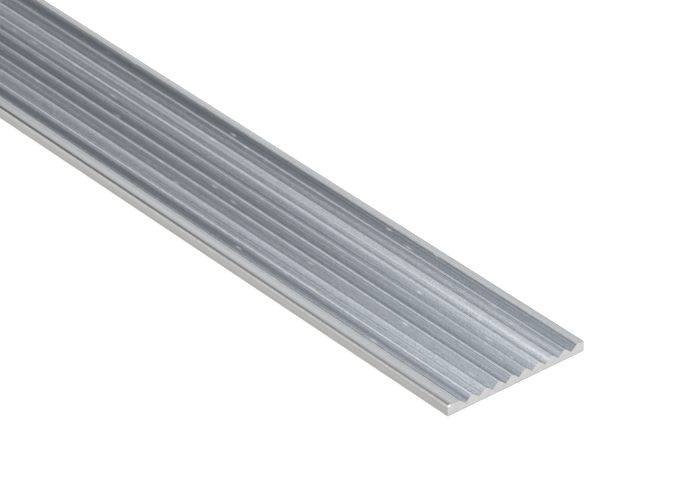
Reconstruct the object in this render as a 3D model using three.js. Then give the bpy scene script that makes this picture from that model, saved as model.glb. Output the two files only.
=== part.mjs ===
// Fluted aluminium threshold strip: one flat extruded bar, sawn square at both ends.
// Millimetres. X runs along the strip, Y across it with the front edge at -Y, and Z is up.
// The origin is the centre of the underside.

import * as THREE from 'three';

// Overall size of the bar: 36 x 1-3/4 x 1/8 inch.
const LENGTH = 914.4;
const WIDTH = 44.45;
const THICKNESS = 3.175;

// V-shaped grooves between two flat borders. The front border is the wider one.
const GROOVE_COUNT = 9;
const GROOVE_MOUTH = 3.63;
const GROOVE_FLOOR = 0.12;
const GROOVE_DEPTH = 1.5;
const RIB_CREST = 0.68;
const FRONT_BORDER = 3.9;

// Corner radii of the section.
const FRONT_TOP_RADIUS = 0.9;
const BACK_TOP_RADIUS = 0.3;
const BOTTOM_RADIUS = 0.2;
const CREST_RADIUS = 0.9;
const FLOOR_RADIUS = 0.12;

// ExtrudeGeometry cuts each arc into twice this many straight steps.
const ARC_STEPS = 4;

const GROOVE_PITCH = GROOVE_MOUTH + RIB_CREST;
const FLANK_RUN = (GROOVE_MOUTH - GROOVE_FLOOR) / 2;

// One corner of the section, before it is rounded.
function corner(across, up, radius) {
  return { point: new THREE.Vector2(across, up), radius };
}

// The four corners of one groove, from its front lip to its back lip.
function grooveCorners(frontLip) {
  const floor = THICKNESS - GROOVE_DEPTH;
  return [
    corner(frontLip, THICKNESS, CREST_RADIUS),
    corner(frontLip + FLANK_RUN, floor, FLOOR_RADIUS),
    corner(frontLip + FLANK_RUN + GROOVE_FLOOR, floor, FLOOR_RADIUS),
    corner(frontLip + GROOVE_MOUTH, THICKNESS, CREST_RADIUS),
  ];
}

// Every corner of the section: along the top from front to back, then back along the underside.
function sectionCorners() {
  const front = -WIDTH / 2;
  const back = WIDTH / 2;
  const corners = [corner(front, THICKNESS, FRONT_TOP_RADIUS)];
  for (let i = 0; i < GROOVE_COUNT; i++) {
    corners.push(...grooveCorners(front + FRONT_BORDER + i * GROOVE_PITCH));
  }
  corners.push(
    corner(back, THICKNESS, BACK_TOP_RADIUS),
    corner(back, 0, BOTTOM_RADIUS),
    corner(front, 0, BOTTOM_RADIUS),
  );
  return corners;
}

// Adds one corner to the outline as an arc that is tangent to both of its sides.
function addRoundedCorner(shape, before, here, after) {
  const toBefore = before.point.clone().sub(here.point).normalize();
  const toAfter = after.point.clone().sub(here.point).normalize();
  const halfAngle = Math.acos(toBefore.dot(toAfter)) / 2;
  const trim = here.radius / Math.tan(halfAngle);
  const start = here.point.clone().addScaledVector(toBefore, trim);
  const end = here.point.clone().addScaledVector(toAfter, trim);
  const inward = toBefore.clone().add(toAfter).normalize();
  const centre = here.point.clone().addScaledVector(inward, here.radius / Math.sin(halfAngle));
  const clockwise = toBefore.cross(toAfter) > 0;
  const startAngle = Math.atan2(start.y - centre.y, start.x - centre.x);
  const endAngle = Math.atan2(end.y - centre.y, end.x - centre.x);
  shape.absarc(centre.x, centre.y, here.radius, startAngle, endAngle, clockwise);
}

// The rounded outline of the section.
function sectionShape() {
  const corners = sectionCorners();
  const shape = new THREE.Shape();
  corners.forEach((here, i) => {
    const before = corners[(i + corners.length - 1) % corners.length];
    const after = corners[(i + 1) % corners.length];
    addRoundedCorner(shape, before, here, after);
  });
  shape.closePath();
  return shape;
}

// The strip: the section drawn across and up, then extruded along the strip.
function flutedStrip() {
  const geometry = new THREE.ExtrudeGeometry(sectionShape(), {
    depth: LENGTH,
    bevelEnabled: false,
    curveSegments: ARC_STEPS,
  });
  // The section is drawn in X and Y and extruded along Z: turn those to Y, Z and X.
  geometry.translate(0, 0, -LENGTH / 2);
  const drawingToStrip = new THREE.Matrix4().makeBasis(
    new THREE.Vector3(0, 1, 0),
    new THREE.Vector3(0, 0, 1),
    new THREE.Vector3(1, 0, 0),
  );
  geometry.applyMatrix4(drawingToStrip);
  const millAluminium = new THREE.MeshStandardMaterial({
    color: 0xc6c9cc,
    metalness: 1,
    roughness: 0.35,
  });
  const mesh = new THREE.Mesh(geometry, millAluminium);
  mesh.name = 'fluted_strip';
  return mesh;
}

const thresholdStrip = new THREE.Group();
thresholdStrip.add(flutedStrip());

export default thresholdStrip;
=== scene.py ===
"""A fluted aluminium threshold strip lying on a pale studio floor.

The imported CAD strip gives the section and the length. This script rebuilds it as one fine mesh with the
faint die lines that an extrusion carries, gives it a mill finish and sawn ends, and lights it.
Metres, +X along the strip, front edge at -Y, +Z up.
"""

import math

import bmesh
import bpy
import numpy as np
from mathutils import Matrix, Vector
from mathutils.geometry import tessellate_polygon


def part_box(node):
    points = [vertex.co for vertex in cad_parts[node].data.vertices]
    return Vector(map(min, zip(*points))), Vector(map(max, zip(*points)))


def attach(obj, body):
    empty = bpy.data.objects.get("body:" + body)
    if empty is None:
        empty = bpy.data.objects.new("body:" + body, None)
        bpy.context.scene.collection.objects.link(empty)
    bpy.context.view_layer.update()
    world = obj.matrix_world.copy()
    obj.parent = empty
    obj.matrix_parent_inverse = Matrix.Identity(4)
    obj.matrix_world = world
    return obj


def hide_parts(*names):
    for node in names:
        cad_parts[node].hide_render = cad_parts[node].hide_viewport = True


MM = 0.001

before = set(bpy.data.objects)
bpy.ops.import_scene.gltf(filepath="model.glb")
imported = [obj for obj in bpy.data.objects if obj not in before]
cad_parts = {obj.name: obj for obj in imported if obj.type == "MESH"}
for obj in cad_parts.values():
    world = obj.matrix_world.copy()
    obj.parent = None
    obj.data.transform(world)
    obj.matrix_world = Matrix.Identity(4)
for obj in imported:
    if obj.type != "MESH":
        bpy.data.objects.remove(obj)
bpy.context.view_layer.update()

NODE = "fluted_strip"
LOW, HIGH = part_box(NODE)

# ---------------------------------------------------------------- the camera
VIEW_AZIMUTH = math.radians(50.08)
VIEW_ELEVATION = math.radians(32.63)
VIEW_DISTANCE = 1147.3 * MM
AIM_FROM_END = 72.4 * MM
AIM_BEHIND_MIDDLE = 7.65 * MM
LENS = 231.3  # the lens and the sensor are in Blender's own millimetres
SENSOR_WIDTH = 36
FARTHEST_SEEN = 100


def make_camera():
    """A long lens that looks down the strip from its right-hand end."""
    back = Vector((
        math.sin(VIEW_AZIMUTH) * math.cos(VIEW_ELEVATION),
        -math.cos(VIEW_AZIMUTH) * math.cos(VIEW_ELEVATION),
        math.sin(VIEW_ELEVATION),
    ))
    aim = Vector((HIGH.x - AIM_FROM_END, AIM_BEHIND_MIDDLE, 0))
    data = bpy.data.cameras.new("camera")
    data.lens = LENS
    data.sensor_width = SENSOR_WIDTH
    data.clip_end = FARTHEST_SEEN
    camera = bpy.data.objects.new("camera", data)
    camera.location = aim + back * VIEW_DISTANCE
    camera.rotation_mode = "QUATERNION"
    camera.rotation_quaternion = (-back).to_track_quat("-Z", "Y")
    bpy.context.scene.collection.objects.link(camera)
    bpy.context.scene.camera = camera


# ---------------------------------------------------------------- the strip's shape
TOP_STEP = 0.09 * MM  # spacing of the points across the grooved face
UNDER_STEP = 0.6 * MM
ROW_STEP = 12.0 * MM
SECTION_BLUR = 1.1  # in points: it rounds off the straight steps of the CAD section
BLUR_REACH = 3  # how far a blur is carried, in its widths
END_CHAMFER = 0.025 * MM
SHARP_ANGLE = math.radians(35)
SEED = 7

# Lines that the die leaves along the strip: how wide, how deep, and how far one runs before it fades.
DIE_LINES = (
    (0.30 * MM, 0.0030 * MM, 120 * MM),
    (0.90 * MM, 0.0080 * MM, 200 * MM),
)

# A small flat filed on each front top corner, where the rounded edge meets the sawn end.
CORNER_NORMAL = Vector((0.60, -0.26, 0.76)).normalized()
CORNER_DEPTH = 0.25 * MM

# How close counts as the same.
SAME_POINT = 0.0001 * MM
SAME_PLANE = 0.01 * MM
SAME_FLOOR = 0.02 * MM
FLOORS_APART = 1.0 * MM  # the middles of two grooves are at least this far apart


def cad_section():
    """The (y, z) outline of the CAD strip's right-hand end, walked anticlockwise."""
    mesh = bmesh.new()
    mesh.from_mesh(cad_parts[NODE].data)
    bmesh.ops.remove_doubles(mesh, verts=mesh.verts, dist=SAME_POINT)
    at_end = [v for v in mesh.verts if v.co.x > HIGH.x - SAME_PLANE]
    neighbours = {v: [] for v in at_end}
    for edge in mesh.edges:
        a, b = edge.verts
        on_rim = any(abs(face.normal.x) < 0.5 for face in edge.link_faces)
        if a in neighbours and b in neighbours and on_rim:
            neighbours[a].append(b)
            neighbours[b].append(a)
    start = at_end[0]
    loop, last, here = [start], None, start
    while True:
        after = next(v for v in neighbours[here] if v is not last)
        if after is start:
            break
        loop.append(after)
        last, here = here, after
    points = [Vector((v.co.y, v.co.z)) for v in loop]
    mesh.free()
    area = sum(a.x * b.y - b.x * a.y for a, b in zip(points, points[1:] + points[:1]))
    return points if area > 0 else points[::-1]


def groove_floors(corners):
    """The y of the middle of each groove's floor, front to back."""
    above_underside = HIGH.z / 4
    deepest = min(z for _, z in corners if z > above_underside)
    at_floor = sorted(y for y, z in corners if abs(z - deepest) < SAME_FLOOR)
    groups = [[at_floor[0]]]
    for y in at_floor[1:]:
        if y - groups[-1][-1] > FLOORS_APART:
            groups.append([])
        groups[-1].append(y)
    return [sum(group) / len(group) for group in groups]


def smooth_round(values, width):
    """Values on a closed ring of points, blurred over about that many points."""
    reach = math.ceil(BLUR_REACH * width)
    taps = np.exp(-0.5 * (np.arange(-reach, reach + 1) / width) ** 2)
    taps /= taps.sum()
    return sum(tap * np.roll(values, shift, 0) for tap, shift in zip(taps, range(-reach, reach + 1)))


def fine_section(corners):
    """The outline with evenly spaced points, closer together wherever it isn't the underside."""
    points = []
    for a, b in zip(corners, corners[1:] + corners[:1]):
        under = max(a.y, b.y) < SAME_PLANE
        count = max(1, math.ceil((b - a).length / (UNDER_STEP if under else TOP_STEP)))
        points += [a.lerp(b, i / count) for i in range(count)]
    return smooth_round(np.array([tuple(p) for p in points]), SECTION_BLUR)


def outward(points):
    """The unit normal of a closed anticlockwise outline at each of its points."""
    along = np.roll(points, -1, 0) - np.roll(points, 1, 0)
    normal = np.stack([along[:, 1], -along[:, 0]], 1)
    return normal / np.linalg.norm(normal, axis=1, keepdims=True)


def die_lines(count, rows, rng):
    """How far each point of each row is scored below the true outline, in metres."""
    total = np.zeros((rows, count))
    for width, depth, run in DIE_LINES:
        knots = max(2, round(rows * ROW_STEP / run) + 1)
        blur = width / TOP_STEP / 2
        at_knots = np.stack([smooth_round(rng.random(count), blur) for _ in range(knots)])
        low, high = at_knots.min(), at_knots.max()
        at_knots = (at_knots - low) / (high - low)
        where = np.linspace(0, knots - 1, rows)
        first = np.minimum(where.astype(int), knots - 2)
        share = (where - first)[:, None]
        total += depth * (at_knots[first] * (1 - share) + at_knots[first + 1] * share)
    return total


def file_corner(mesh, side):
    """Cuts a small flat on the front top corner of the end at that side, -1 or 1."""
    normal = Vector((CORNER_NORMAL.x * side, CORNER_NORMAL.y, CORNER_NORMAL.z))
    tip = max((v.co for v in mesh.verts), key=lambda co: co.dot(normal))
    cut = bmesh.ops.bisect_plane(
        mesh,
        geom=mesh.verts[:] + mesh.edges[:] + mesh.faces[:],
        dist=SAME_POINT,
        plane_co=tip - normal * CORNER_DEPTH,
        plane_no=normal,
        clear_outer=True,
    )
    rim = [e for e in cut["geom_cut"] if isinstance(e, bmesh.types.BMEdge)]
    for face in bmesh.ops.edgeloop_fill(mesh, edges=rim)["faces"]:
        face.smooth = False
        face.material_index = 0


def skin_rows(section):
    """The (x, outline) rows along the strip, drawn in by the chamfer at the two sawn ends."""
    normal = outward(section)
    inner = round((HIGH.x - LOW.x) / ROW_STEP) + 1
    x = np.linspace(LOW.x + END_CHAMFER, HIGH.x - END_CHAMFER, inner)
    depth = die_lines(len(section), inner, np.random.default_rng(SEED))
    rows = [(px, section - normal * d[:, None]) for px, d in zip(x, depth)]
    rows.insert(0, (LOW.x, rows[0][1] - normal * END_CHAMFER))
    rows.append((HIGH.x, rows[-1][1] - normal * END_CHAMFER))
    return rows


def make_strip(corners):
    """The fine strip: slot 0 is its long skin and filed corners, slot 1 the two sawn ends."""
    rows = skin_rows(fine_section(corners))
    count = len(rows[0][1])
    verts = [(px, y, z) for px, outline in rows for y, z in outline]
    faces = []
    for r in range(len(rows) - 1):
        for i in range(count):
            j = (i + 1) % count
            faces.append((r * count + i, r * count + j, (r + 1) * count + j, (r + 1) * count + i))
    skin_faces = len(faces)
    right_end = (len(rows) - 1) * count
    for a, b, c in tessellate_polygon([[Vector((y, z, 0)) for y, z in rows[-1][1]]]):
        faces.append((a + right_end, b + right_end, c + right_end))
        faces.append((c, b, a))
    mesh = bpy.data.meshes.new("fluted_strip_fine")
    mesh.from_pydata(verts, [], faces)
    for i, polygon in enumerate(mesh.polygons):
        polygon.use_smooth = i < skin_faces
        polygon.material_index = 0 if i < skin_faces else 1
    mesh.update()
    strip = bpy.data.objects.new("fluted_strip_fine", mesh)
    bpy.context.scene.collection.objects.link(strip)
    filed = bmesh.new()
    filed.from_mesh(mesh)
    bmesh.ops.recalc_face_normals(filed, faces=filed.faces)
    file_corner(filed, 1)
    file_corner(filed, -1)
    bmesh.ops.recalc_face_normals(filed, faces=filed.faces)
    filed.to_mesh(mesh)
    filed.free()
    mesh.set_sharp_from_angle(angle=SHARP_ANGLE)
    return strip


# ---------------------------------------------------------------- materials
# How light each groove's front-facing flank is low down, halfway up and near its crest, front to back.
# Partly the metal's own tone and partly painted reflection and shade: how the grooves mirror the studio is
# painted into their colour, with a bluer tint where darker.
FLANK_SHADES = (
    (0.97, 0.60, 0.97),
    (1.10, 1.02, 1.25),
    (0.95, 1.07, 0.96),
    (0.79, 0.83, 0.91),
    (0.70, 0.88, 0.96),
    (0.91, 0.93, 1.54),
    (0.86, 1.48, 1.70),
    (0.79, 1.24, 0.82),
    (0.77, 0.69, 0.79),
)
FLANK_PLACES = (0.03, 0.47, 0.85)  # where those three shades sit, from the groove's floor to its lip
FLANK_RUN = 0.42  # how wide a flank is, as a share of the pitch
FLANK_GREY = 0.572
FLANK_BLUE = 0.055
SHADOW_BLUE = 0.07  # how much bluer a flank is for each unit of shade below PALE_SHADE
PALE_SHADE = 1.42  # from this shade up a flank has only FLANK_BLUE
RED_LOSS = 0.8  # of what the metal gains in blue

# The ribs' crests carry a painted highlight: a lighter colour than the flanks, each rib its own shade,
# carried a little down the flank by CREST_DEPTHS.
CREST_SHADES = (0.94, 0.95, 0.82, 0.78, 0.76, 0.92, 0.92, 0.72)  # the ribs between the grooves
CREST_HIGHLIGHT_GREY = 0.715
CREST_BLUE = 0.07
CREST_DEPTHS = (0.58 * MM, 0.12 * MM)  # below the top: from all flank colour to all crest colour
CREST_WEAR = 0.065  # how much rougher the crests are

BORDER_COLOUR = (0.605, 0.617, 0.628)
# Painted shade: the back border is darker where it turns down into the last groove.
LIP_SHADE_COLOUR = (0.485, 0.505, 0.53)  # the back border where it turns down into the last groove
LIP_BEFORE = 0.30 * MM  # that colour sits this far before the border's edge
BORDER_AFTER = 0.35 * MM  # and the border's own colour this far after it

# The front edge's painted shade and highlights, from the flat side, painted darker, up over its rounding,
# with a painted highlight and then a dark painted reflection line, to the front border. Each is placed by
# how far the point lies behind the front less how far it lies below the top.
EDGE_SHADE_AND_HIGHLIGHTS = (
    (-0.88 * MM, (0.358, 0.354, 0.345)),
    (-0.66 * MM, (0.345, 0.341, 0.332)),
    (-0.42 * MM, (0.53, 0.525, 0.515)),
    (-0.10 * MM, (0.76, 0.755, 0.74)),
    (0.12 * MM, (0.80, 0.80, 0.79)),
    (0.38 * MM, (0.48, 0.48, 0.48)),
    (0.56 * MM, (0.22, 0.22, 0.22)),
    (0.76 * MM, (0.26, 0.265, 0.27)),
    (1.02 * MM, (0.46, 0.47, 0.48)),
    (1.50 * MM, BORDER_COLOUR),
)
EDGE_REACH = (2.0 * MM, 1.6 * MM)  # behind the front: from none of those colours to all of them

# A painted highlight on the filed corners, a glint where the rounded edge meets the sawn end, and where it
# goes from none to all.
CORNER_GLINT_COLOUR = (0.80, 0.80, 0.80)
CORNER_FROM_END = (0.50 * MM, 0.25 * MM)
CORNER_BEHIND_FRONT = (1.2 * MM, 0.8 * MM)
CORNER_BELOW_TOP = (0.50 * MM, 0.30 * MM)

# The finish's patterns: how long one mark is along the strip and how wide it is across it, and how much the
# pattern lightens and darkens the metal.
BROAD_STREAK, BROAD_SWING = (140 * MM, 1.1 * MM), 0.08
FINE_STREAK, FINE_SWING = (220 * MM, 0.28 * MM), 0.19
MOTTLE, MOTTLE_SWING = (4.0 * MM, 1.2 * MM), 0.05
GRAIN, GRAIN_SWING = (0.55 * MM, 0.30 * MM), 0.13
MOTTLE_DETAIL, MOTTLE_ROUGHNESS = 3.0, 0.6
STREAK_DETAIL = 1.0
NOISE_RANGE = (0.3, 0.7)  # of a noise pattern: values beyond these two count as these
GROOVED = (20 * MM, 19 * MM)  # each way from the middle groove: from plain border to grooved face
BORDER_SHARE = 0.45  # how much of the patterns is left on the borders
STREAK_HEIGHT = 0.002 * MM
MILL_ROUGHNESS = (0.19, 0.26)
METALLIC = 1.0

NICK_COLOUR = (0.91, 0.94, 0.97)
NICK_CELL = (9.0 * MM, 1.4 * MM)  # at most one nick in each patch of this length and width
NICK_CHOICE = (0.86, 0.98)  # of a patch's random number: from no nick to a full one
NICK_EDGE = (0.18, 0.06)  # from the patch's point, in patches: from a nick's outline to its full colour
NICK_RAGGEDNESS = 0.06

# The saw's marks on the sawn ends: how wide and how tall they are, and how far they lean for their height.
SAW_MARK = (0.22 * MM, 2.5 * MM)
SAW_LEAN = 0.35
SAW_MOTTLE = (1.0 * MM, 0.9 * MM)
SAW_SWING = 0.05
SAW_COLOURS = (0.545, 0.54, 0.545), (0.60, 0.60, 0.59)
# Painted shade along the foot of the sawn ends, where they meet the floor.
SAW_FOOT = (0.1 * MM, 0.6 * MM)  # above the underside: from the darker foot to the rest
SAW_FOOT_SHADE = 0.92
SAW_ROUGHNESS = (0.44, 0.54)
SAW_HEIGHT = 0.01 * MM


class Nodes:
    """A material and short calls that add nodes to its tree."""

    def __init__(self, name):
        self.material = bpy.data.materials.new(name)
        self.material.use_nodes = True
        self.tree = self.material.node_tree
        self.shader = self.tree.nodes["Principled BSDF"]

    def feed(self, socket, value):
        if isinstance(value, bpy.types.NodeSocket):
            self.tree.links.new(value, socket)
        elif value is not None:
            socket.default_value = value

    def place(self):
        """The point on the piece, in metres."""
        return self.tree.nodes.new("ShaderNodeTexCoord").outputs["Object"]

    def split(self, vector):
        """The vector's three numbers."""
        node = self.tree.nodes.new("ShaderNodeSeparateXYZ")
        self.feed(node.inputs[0], vector)
        return node.outputs[0], node.outputs[1], node.outputs[2]

    def stretch(self, vector, along, across):
        """The vector measured in steps of that length along X and that width across it."""
        node = self.tree.nodes.new("ShaderNodeVectorMath")
        node.operation = "MULTIPLY"
        self.feed(node.inputs[0], vector)
        node.inputs[1].default_value = (1 / along, 1 / across, 1 / across)
        return node.outputs[0]

    def noise(self, vector, detail=2.0, roughness=0.5):
        node = self.tree.nodes.new("ShaderNodeTexNoise")
        self.feed(node.inputs["Vector"], vector)
        node.inputs["Scale"].default_value = 1.0
        node.inputs["Detail"].default_value = detail
        node.inputs["Roughness"].default_value = roughness
        return node.outputs[0]

    def cells(self, vector):
        """A flat Voronoi pattern: the distance from each cell's point, and the cell's random number."""
        node = self.tree.nodes.new("ShaderNodeTexVoronoi")
        self.feed(node.inputs["Vector"], vector)
        node.inputs["Scale"].default_value = 1.0
        node.voronoi_dimensions = "2D"
        return node.outputs["Distance"], self.split(node.outputs["Color"])[0]

    def span(self, value, low, high, to_low=0.0, to_high=1.0):
        """The value with low to high mapped onto to_low to to_high, and held beyond both ends."""
        node = self.tree.nodes.new("ShaderNodeMapRange")
        self.feed(node.inputs["Value"], value)
        ends = {"From Min": low, "From Max": high, "To Min": to_low, "To Max": to_high}
        for name, number in ends.items():
            node.inputs[name].default_value = number
        return node.outputs[0]

    def vary(self, noise, low, high):
        """A noise pattern mapped onto low to high."""
        return self.span(noise, *NOISE_RANGE, low, high)

    def tone(self, noise, swing):
        """A factor that a noise pattern swings that far below and above 1."""
        return self.vary(noise, 1 - swing, 1 + swing)

    def math(self, operation, a, b=None):
        node = self.tree.nodes.new("ShaderNodeMath")
        node.operation = operation
        self.feed(node.inputs[0], a)
        self.feed(node.inputs[1], b)
        return node.outputs[0]

    def product(self, first, *others):
        for other in others:
            first = self.math("MULTIPLY", first, other)
        return first

    def scale(self, colour, factor):
        node = self.tree.nodes.new("ShaderNodeVectorMath")
        node.operation = "SCALE"
        self.feed(node.inputs[0], colour)
        self.feed(node.inputs["Scale"], factor)
        return node.outputs[0]

    def mix(self, factor, a, b):
        """Colour a where the factor is 0 and b where it is 1. Either may be three plain numbers."""
        node = self.tree.nodes.new("ShaderNodeMix")
        node.data_type = "RGBA"
        self.feed(node.inputs["Factor"], factor)
        for name, colour in (("A", a), ("B", b)):
            self.feed(node.inputs[name], (*colour, 1) if isinstance(colour, tuple) else colour)
        return node.outputs["Result"]

    def ramp(self, value, stops):
        """A colour ramp through (position, colour) stops."""
        node = self.tree.nodes.new("ShaderNodeValToRGB")
        self.feed(node.inputs[0], value)
        elements = node.color_ramp.elements
        while len(elements) < len(stops):
            elements.new(0.5)
        for element, (position, _) in zip(elements, stops):
            element.position = position
        for element, (_, colour) in zip(elements, stops):
            element.color = (*colour, 1)
        return node.outputs["Color"]

    def bump(self, height, distance):
        """Raises the surface by that distance where the height is 1."""
        node = self.tree.nodes.new("ShaderNodeBump")
        node.inputs["Strength"].default_value = 1.0
        node.inputs["Distance"].default_value = distance
        self.feed(node.inputs["Height"], height)
        self.feed(self.shader.inputs["Normal"], node.outputs[0])


def metal_colour(level, blue):
    """A grey of that level, made that much bluer and a little less red."""
    return level * (1 - RED_LOSS * blue), level, level * (1 + blue)


def flank_colour(shade):
    """A groove's colour at that shade, part metal tone and part painted reflection and shade: the darker,
    the bluer, below PALE_SHADE.
    """
    blue = FLANK_BLUE + SHADOW_BLUE * max(0.0, PALE_SHADE - shade)
    return metal_colour(FLANK_GREY * shade, blue)


def ramp_place(y):
    """Where that y falls on a ramp across the whole strip."""
    return (y - LOW.y) / (HIGH.y - LOW.y)


def flank_stops(floors):
    """Ramp stops across the strip, one for each shade of each flank."""
    run = (floors[1] - floors[0]) * FLANK_RUN
    return [
        (ramp_place(floor + place * run), flank_colour(shade))
        for floor, shades in zip(floors, FLANK_SHADES)
        for place, shade in zip(FLANK_PLACES, shades)
    ]


def crest_stops(floors):
    """Ramp stops across the strip: the front border, each rib's crest with its painted highlight, the
    painted shade of the back border's lip, and the back border.
    """
    half = (floors[1] - floors[0]) / 2
    back_border = floors[-1] + half
    stops = [(ramp_place(floors[0] - half), BORDER_COLOUR)]
    for y, shade in zip(floors, CREST_SHADES):
        stops.append((ramp_place(y + half), metal_colour(CREST_HIGHLIGHT_GREY * shade, CREST_BLUE)))
    stops.append((ramp_place(back_border - LIP_BEFORE), LIP_SHADE_COLOUR))
    stops.append((ramp_place(back_border + BORDER_AFTER), BORDER_COLOUR))
    return stops


def painted_front_edge(nodes, y, z):
    """The front edge's painted shade and highlights at each point of it."""
    first, last = EDGE_SHADE_AND_HIGHLIGHTS[0][0], EDGE_SHADE_AND_HIGHLIGHTS[-1][0]
    stops = [((run - first) / (last - first), colour) for run, colour in EDGE_SHADE_AND_HIGHLIGHTS]
    run = nodes.math("SUBTRACT", nodes.math("ADD", y, z), LOW.y + HIGH.z)
    return nodes.ramp(nodes.span(run, first, last), stops)


def behind_front(nodes, y, distances):
    """0 at the first distance behind the front, and 1 at the second, nearer one."""
    outer, inner = distances
    return nodes.span(y, LOW.y + outer, LOW.y + inner)


def below_top(nodes, z, distances):
    """0 at the first distance below the top, and 1 at the second, nearer one."""
    outer, inner = distances
    return nodes.span(z, HIGH.z - outer, HIGH.z - inner)


def at_corner(nodes, x, y, z):
    """1 at the filed corners of both ends, where their glint is painted, and 0 elsewhere."""
    outer, inner = CORNER_FROM_END
    at_end = nodes.span(nodes.math("ABSOLUTE", x), HIGH.x - outer, HIGH.x - inner)
    at_front = behind_front(nodes, y, CORNER_BEHIND_FRONT)
    near_top = below_top(nodes, z, CORNER_BELOW_TOP)
    return nodes.product(at_end, nodes.product(at_front, near_top))


def plain_colour(nodes, place, floors, on_top):
    """The metal's colour with its painted highlights, reflections and shade, before its patterns and nicks.
    """
    x, y, z = nodes.split(place)
    across = nodes.span(y, LOW.y, HIGH.y)
    flank = nodes.ramp(across, flank_stops(floors))
    crest = nodes.ramp(across, crest_stops(floors))
    colour = nodes.mix(on_top, flank, crest)
    # The front edge's painted shade and highlights over the rounding and the flat side.
    colour = nodes.mix(behind_front(nodes, y, EDGE_REACH), colour, painted_front_edge(nodes, y, z))
    # The painted glint on the filed corners.
    return nodes.mix(at_corner(nodes, x, y, z), colour, CORNER_GLINT_COLOUR)


def nicks(nodes, place, grain, grooved):
    """1 in the middle of each nick on the grooved face, and 0 elsewhere."""
    distance, chance = nodes.cells(nodes.stretch(place, *NICK_CELL))
    ragged = nodes.math("ADD", distance, nodes.vary(grain, -NICK_RAGGEDNESS, NICK_RAGGEDNESS))
    chosen = nodes.span(chance, *NICK_CHOICE)
    return nodes.product(nodes.span(ragged, *NICK_EDGE), nodes.product(chosen, grooved))


def mill_aluminium(floors):
    """The drawn metal of the long skin: streaked along the strip, mottled, grainy and nicked, with
    highlights, reflections and shade painted into its colour.
    """
    nodes = Nodes("mill_aluminium")
    place = nodes.place()
    _, y, z = nodes.split(place)
    # Where the crests' painted highlight goes, and where they wear rougher.
    on_top = below_top(nodes, z, CREST_DEPTHS)
    from_middle = nodes.math("ABSOLUTE", nodes.math("SUBTRACT", y, sum(floors) / len(floors)))
    grooved = nodes.span(from_middle, *GROOVED)

    broad = nodes.noise(nodes.stretch(place, *BROAD_STREAK), STREAK_DETAIL)
    fine = nodes.noise(nodes.stretch(place, *FINE_STREAK), STREAK_DETAIL)
    mottle = nodes.noise(nodes.stretch(place, *MOTTLE), MOTTLE_DETAIL, MOTTLE_ROUGHNESS)
    grain = nodes.noise(nodes.stretch(place, *GRAIN), STREAK_DETAIL)
    tone = nodes.product(
        nodes.tone(broad, BROAD_SWING),
        nodes.tone(fine, FINE_SWING),
        nodes.tone(mottle, MOTTLE_SWING),
        nodes.tone(grain, GRAIN_SWING),
    )
    share = nodes.span(grooved, 0, 1, BORDER_SHARE, 1)
    unevenness = nodes.product(nodes.math("SUBTRACT", tone, 1.0), share)
    colour = plain_colour(nodes, place, floors, on_top)
    colour = nodes.scale(colour, nodes.math("ADD", unevenness, 1.0))
    nick = nicks(nodes, place, grain, grooved)
    colour = nodes.mix(nick, colour, NICK_COLOUR)
    wear = nodes.product(on_top, grooved, CREST_WEAR)
    roughness = nodes.math("ADD", nodes.vary(fine, *MILL_ROUGHNESS), wear)

    nodes.feed(nodes.shader.inputs["Base Color"], colour)
    nodes.shader.inputs["Metallic"].default_value = METALLIC
    nodes.feed(nodes.shader.inputs["Roughness"], roughness)
    nodes.bump(nodes.math("ADD", fine, nick), STREAK_HEIGHT)
    return nodes.material


def sawn_aluminium():
    """The matte saw cut of the two ends, with painted shade along its foot."""
    nodes = Nodes("sawn_aluminium")
    place = nodes.place()
    _, y, z = nodes.split(place)
    width, height = SAW_MARK
    leaned = nodes.math("ADD", y, nodes.math("MULTIPLY", z, SAW_LEAN))
    teeth = nodes.tree.nodes.new("ShaderNodeCombineXYZ")
    nodes.feed(teeth.inputs[0], nodes.math("DIVIDE", leaned, width))
    nodes.feed(teeth.inputs[1], nodes.math("DIVIDE", z, height))
    marks = nodes.noise(teeth.outputs[0])
    mottle = nodes.noise(nodes.stretch(place, *SAW_MOTTLE), MOTTLE_DETAIL, MOTTLE_ROUGHNESS)
    tone = nodes.product(
        nodes.tone(marks, SAW_SWING),
        nodes.tone(mottle, SAW_SWING),
        # Painted shade, darker along the foot.
        nodes.span(z, *SAW_FOOT, SAW_FOOT_SHADE, 1.0),
    )
    colour = nodes.scale(nodes.mix(mottle, *SAW_COLOURS), tone)

    nodes.feed(nodes.shader.inputs["Base Color"], colour)
    nodes.shader.inputs["Metallic"].default_value = METALLIC
    nodes.feed(nodes.shader.inputs["Roughness"], nodes.vary(marks, *SAW_ROUGHNESS))
    nodes.bump(marks, SAW_HEIGHT)
    return nodes.material


# ---------------------------------------------------------------- the studio
FLOOR_HALF_SIZE = 30.0
FLOOR_CLOUD = 300 * MM
FLOOR_COLOURS = (0.91, 0.91, 0.91), (0.93, 0.93, 0.93)
FLOOR_ROUGHNESS = 0.9
FLOOR_GLOW = 0.65  # the floor gives off light of its own, so that it stays even round the strip
WORLD_COLOUR = (0.96, 0.98, 1.0, 1)
WORLD_STRENGTH = 0.30

# Soft boxes, all facing the strip: where each stands from the point it faces, its size and its brightness.
BOXES_AT_RIGHT_END = {
    "overhead": ((0.9, 0.1, 1.7), (1.8, 2.4), 1.1),
    "back_wall": ((-0.54, 0.95, 0.68), (1.4, 1.2), 0.56),
    "top_box": ((-0.62, 0.10, 0.95), (0.6, 0.5), 0.75),
    "front_box": ((-0.48, -0.60, 0.89), (0.6, 0.6), 0.69),
    "front_wall": ((-0.75, -0.85, 0.30), (0.9, 0.5), 0.65),
}
BOX_AT_MIDDLE = ((-2.4, 0.0, 1.2), (1.6, 1.2), 0.5)


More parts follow.
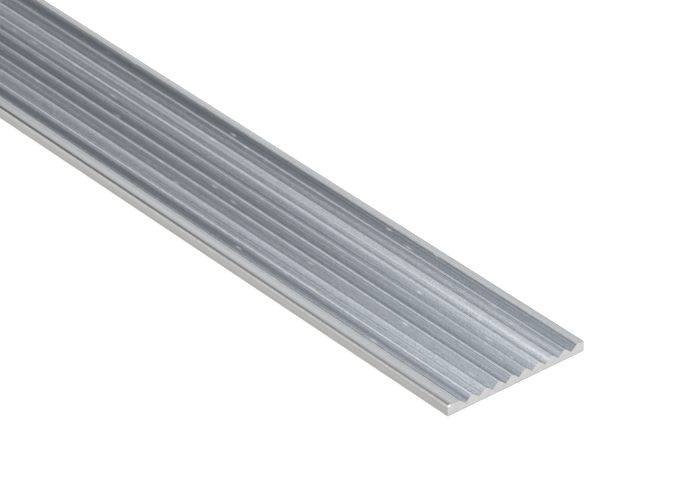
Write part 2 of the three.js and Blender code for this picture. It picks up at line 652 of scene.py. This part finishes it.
def make_floor():
    """A pale plane under the strip."""
    s = FLOOR_HALF_SIZE
    mesh = bpy.data.meshes.new("floor")
    mesh.from_pydata([(-s, -s, 0), (s, -s, 0), (s, s, 0), (-s, s, 0)], [], [(0, 1, 2, 3)])
    floor = bpy.data.objects.new("floor", mesh)
    nodes = Nodes("floor")
    cloud = nodes.noise(nodes.stretch(nodes.place(), FLOOR_CLOUD, FLOOR_CLOUD))
    nodes.feed(nodes.shader.inputs["Base Color"], nodes.mix(cloud, *FLOOR_COLOURS))
    nodes.shader.inputs["Roughness"].default_value = FLOOR_ROUGHNESS
    nodes.shader.inputs["Emission Color"].default_value = (1, 1, 1, 1)
    nodes.shader.inputs["Emission Strength"].default_value = FLOOR_GLOW
    mesh.materials.append(nodes.material)
    bpy.context.scene.collection.objects.link(floor)


def soft_box(name, aim, offset, size, radiance):
    """An area light of that size and brightness, standing at that offset from aim and facing it."""
    centre = aim + Vector(offset)
    data = bpy.data.lights.new(name, "AREA")
    data.shape = "RECTANGLE"
    data.size, data.size_y = size
    data.energy = radiance * math.pi * size[0] * size[1]
    lamp = bpy.data.objects.new(name, data)
    lamp.location = centre
    lamp.rotation_mode = "QUATERNION"
    lamp.rotation_quaternion = (aim - centre).to_track_quat("-Z", "Y")
    lamp.visible_camera = False
    bpy.context.scene.collection.objects.link(lamp)


def make_studio():
    """The world's even light, and the soft boxes."""
    world = bpy.data.worlds.new("studio")
    world.use_nodes = True
    background = world.node_tree.nodes["Background"]
    background.inputs["Color"].default_value = WORLD_COLOUR
    background.inputs["Strength"].default_value = WORLD_STRENGTH
    bpy.context.scene.world = world
    for name, box in BOXES_AT_RIGHT_END.items():
        soft_box(name, Vector((HIGH.x, 0, 0)), *box)
    soft_box("far_wall", Vector((0, 0, 0)), *BOX_AT_MIDDLE)


make_camera()
corners = cad_section()
strip = make_strip(corners)
strip.data.materials.append(mill_aluminium(groove_floors(corners)))
strip.data.materials.append(sawn_aluminium())
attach(strip, "root")
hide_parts(NODE)
make_floor()
make_studio()
bpy.context.scene.view_settings.view_transform = "Standard"
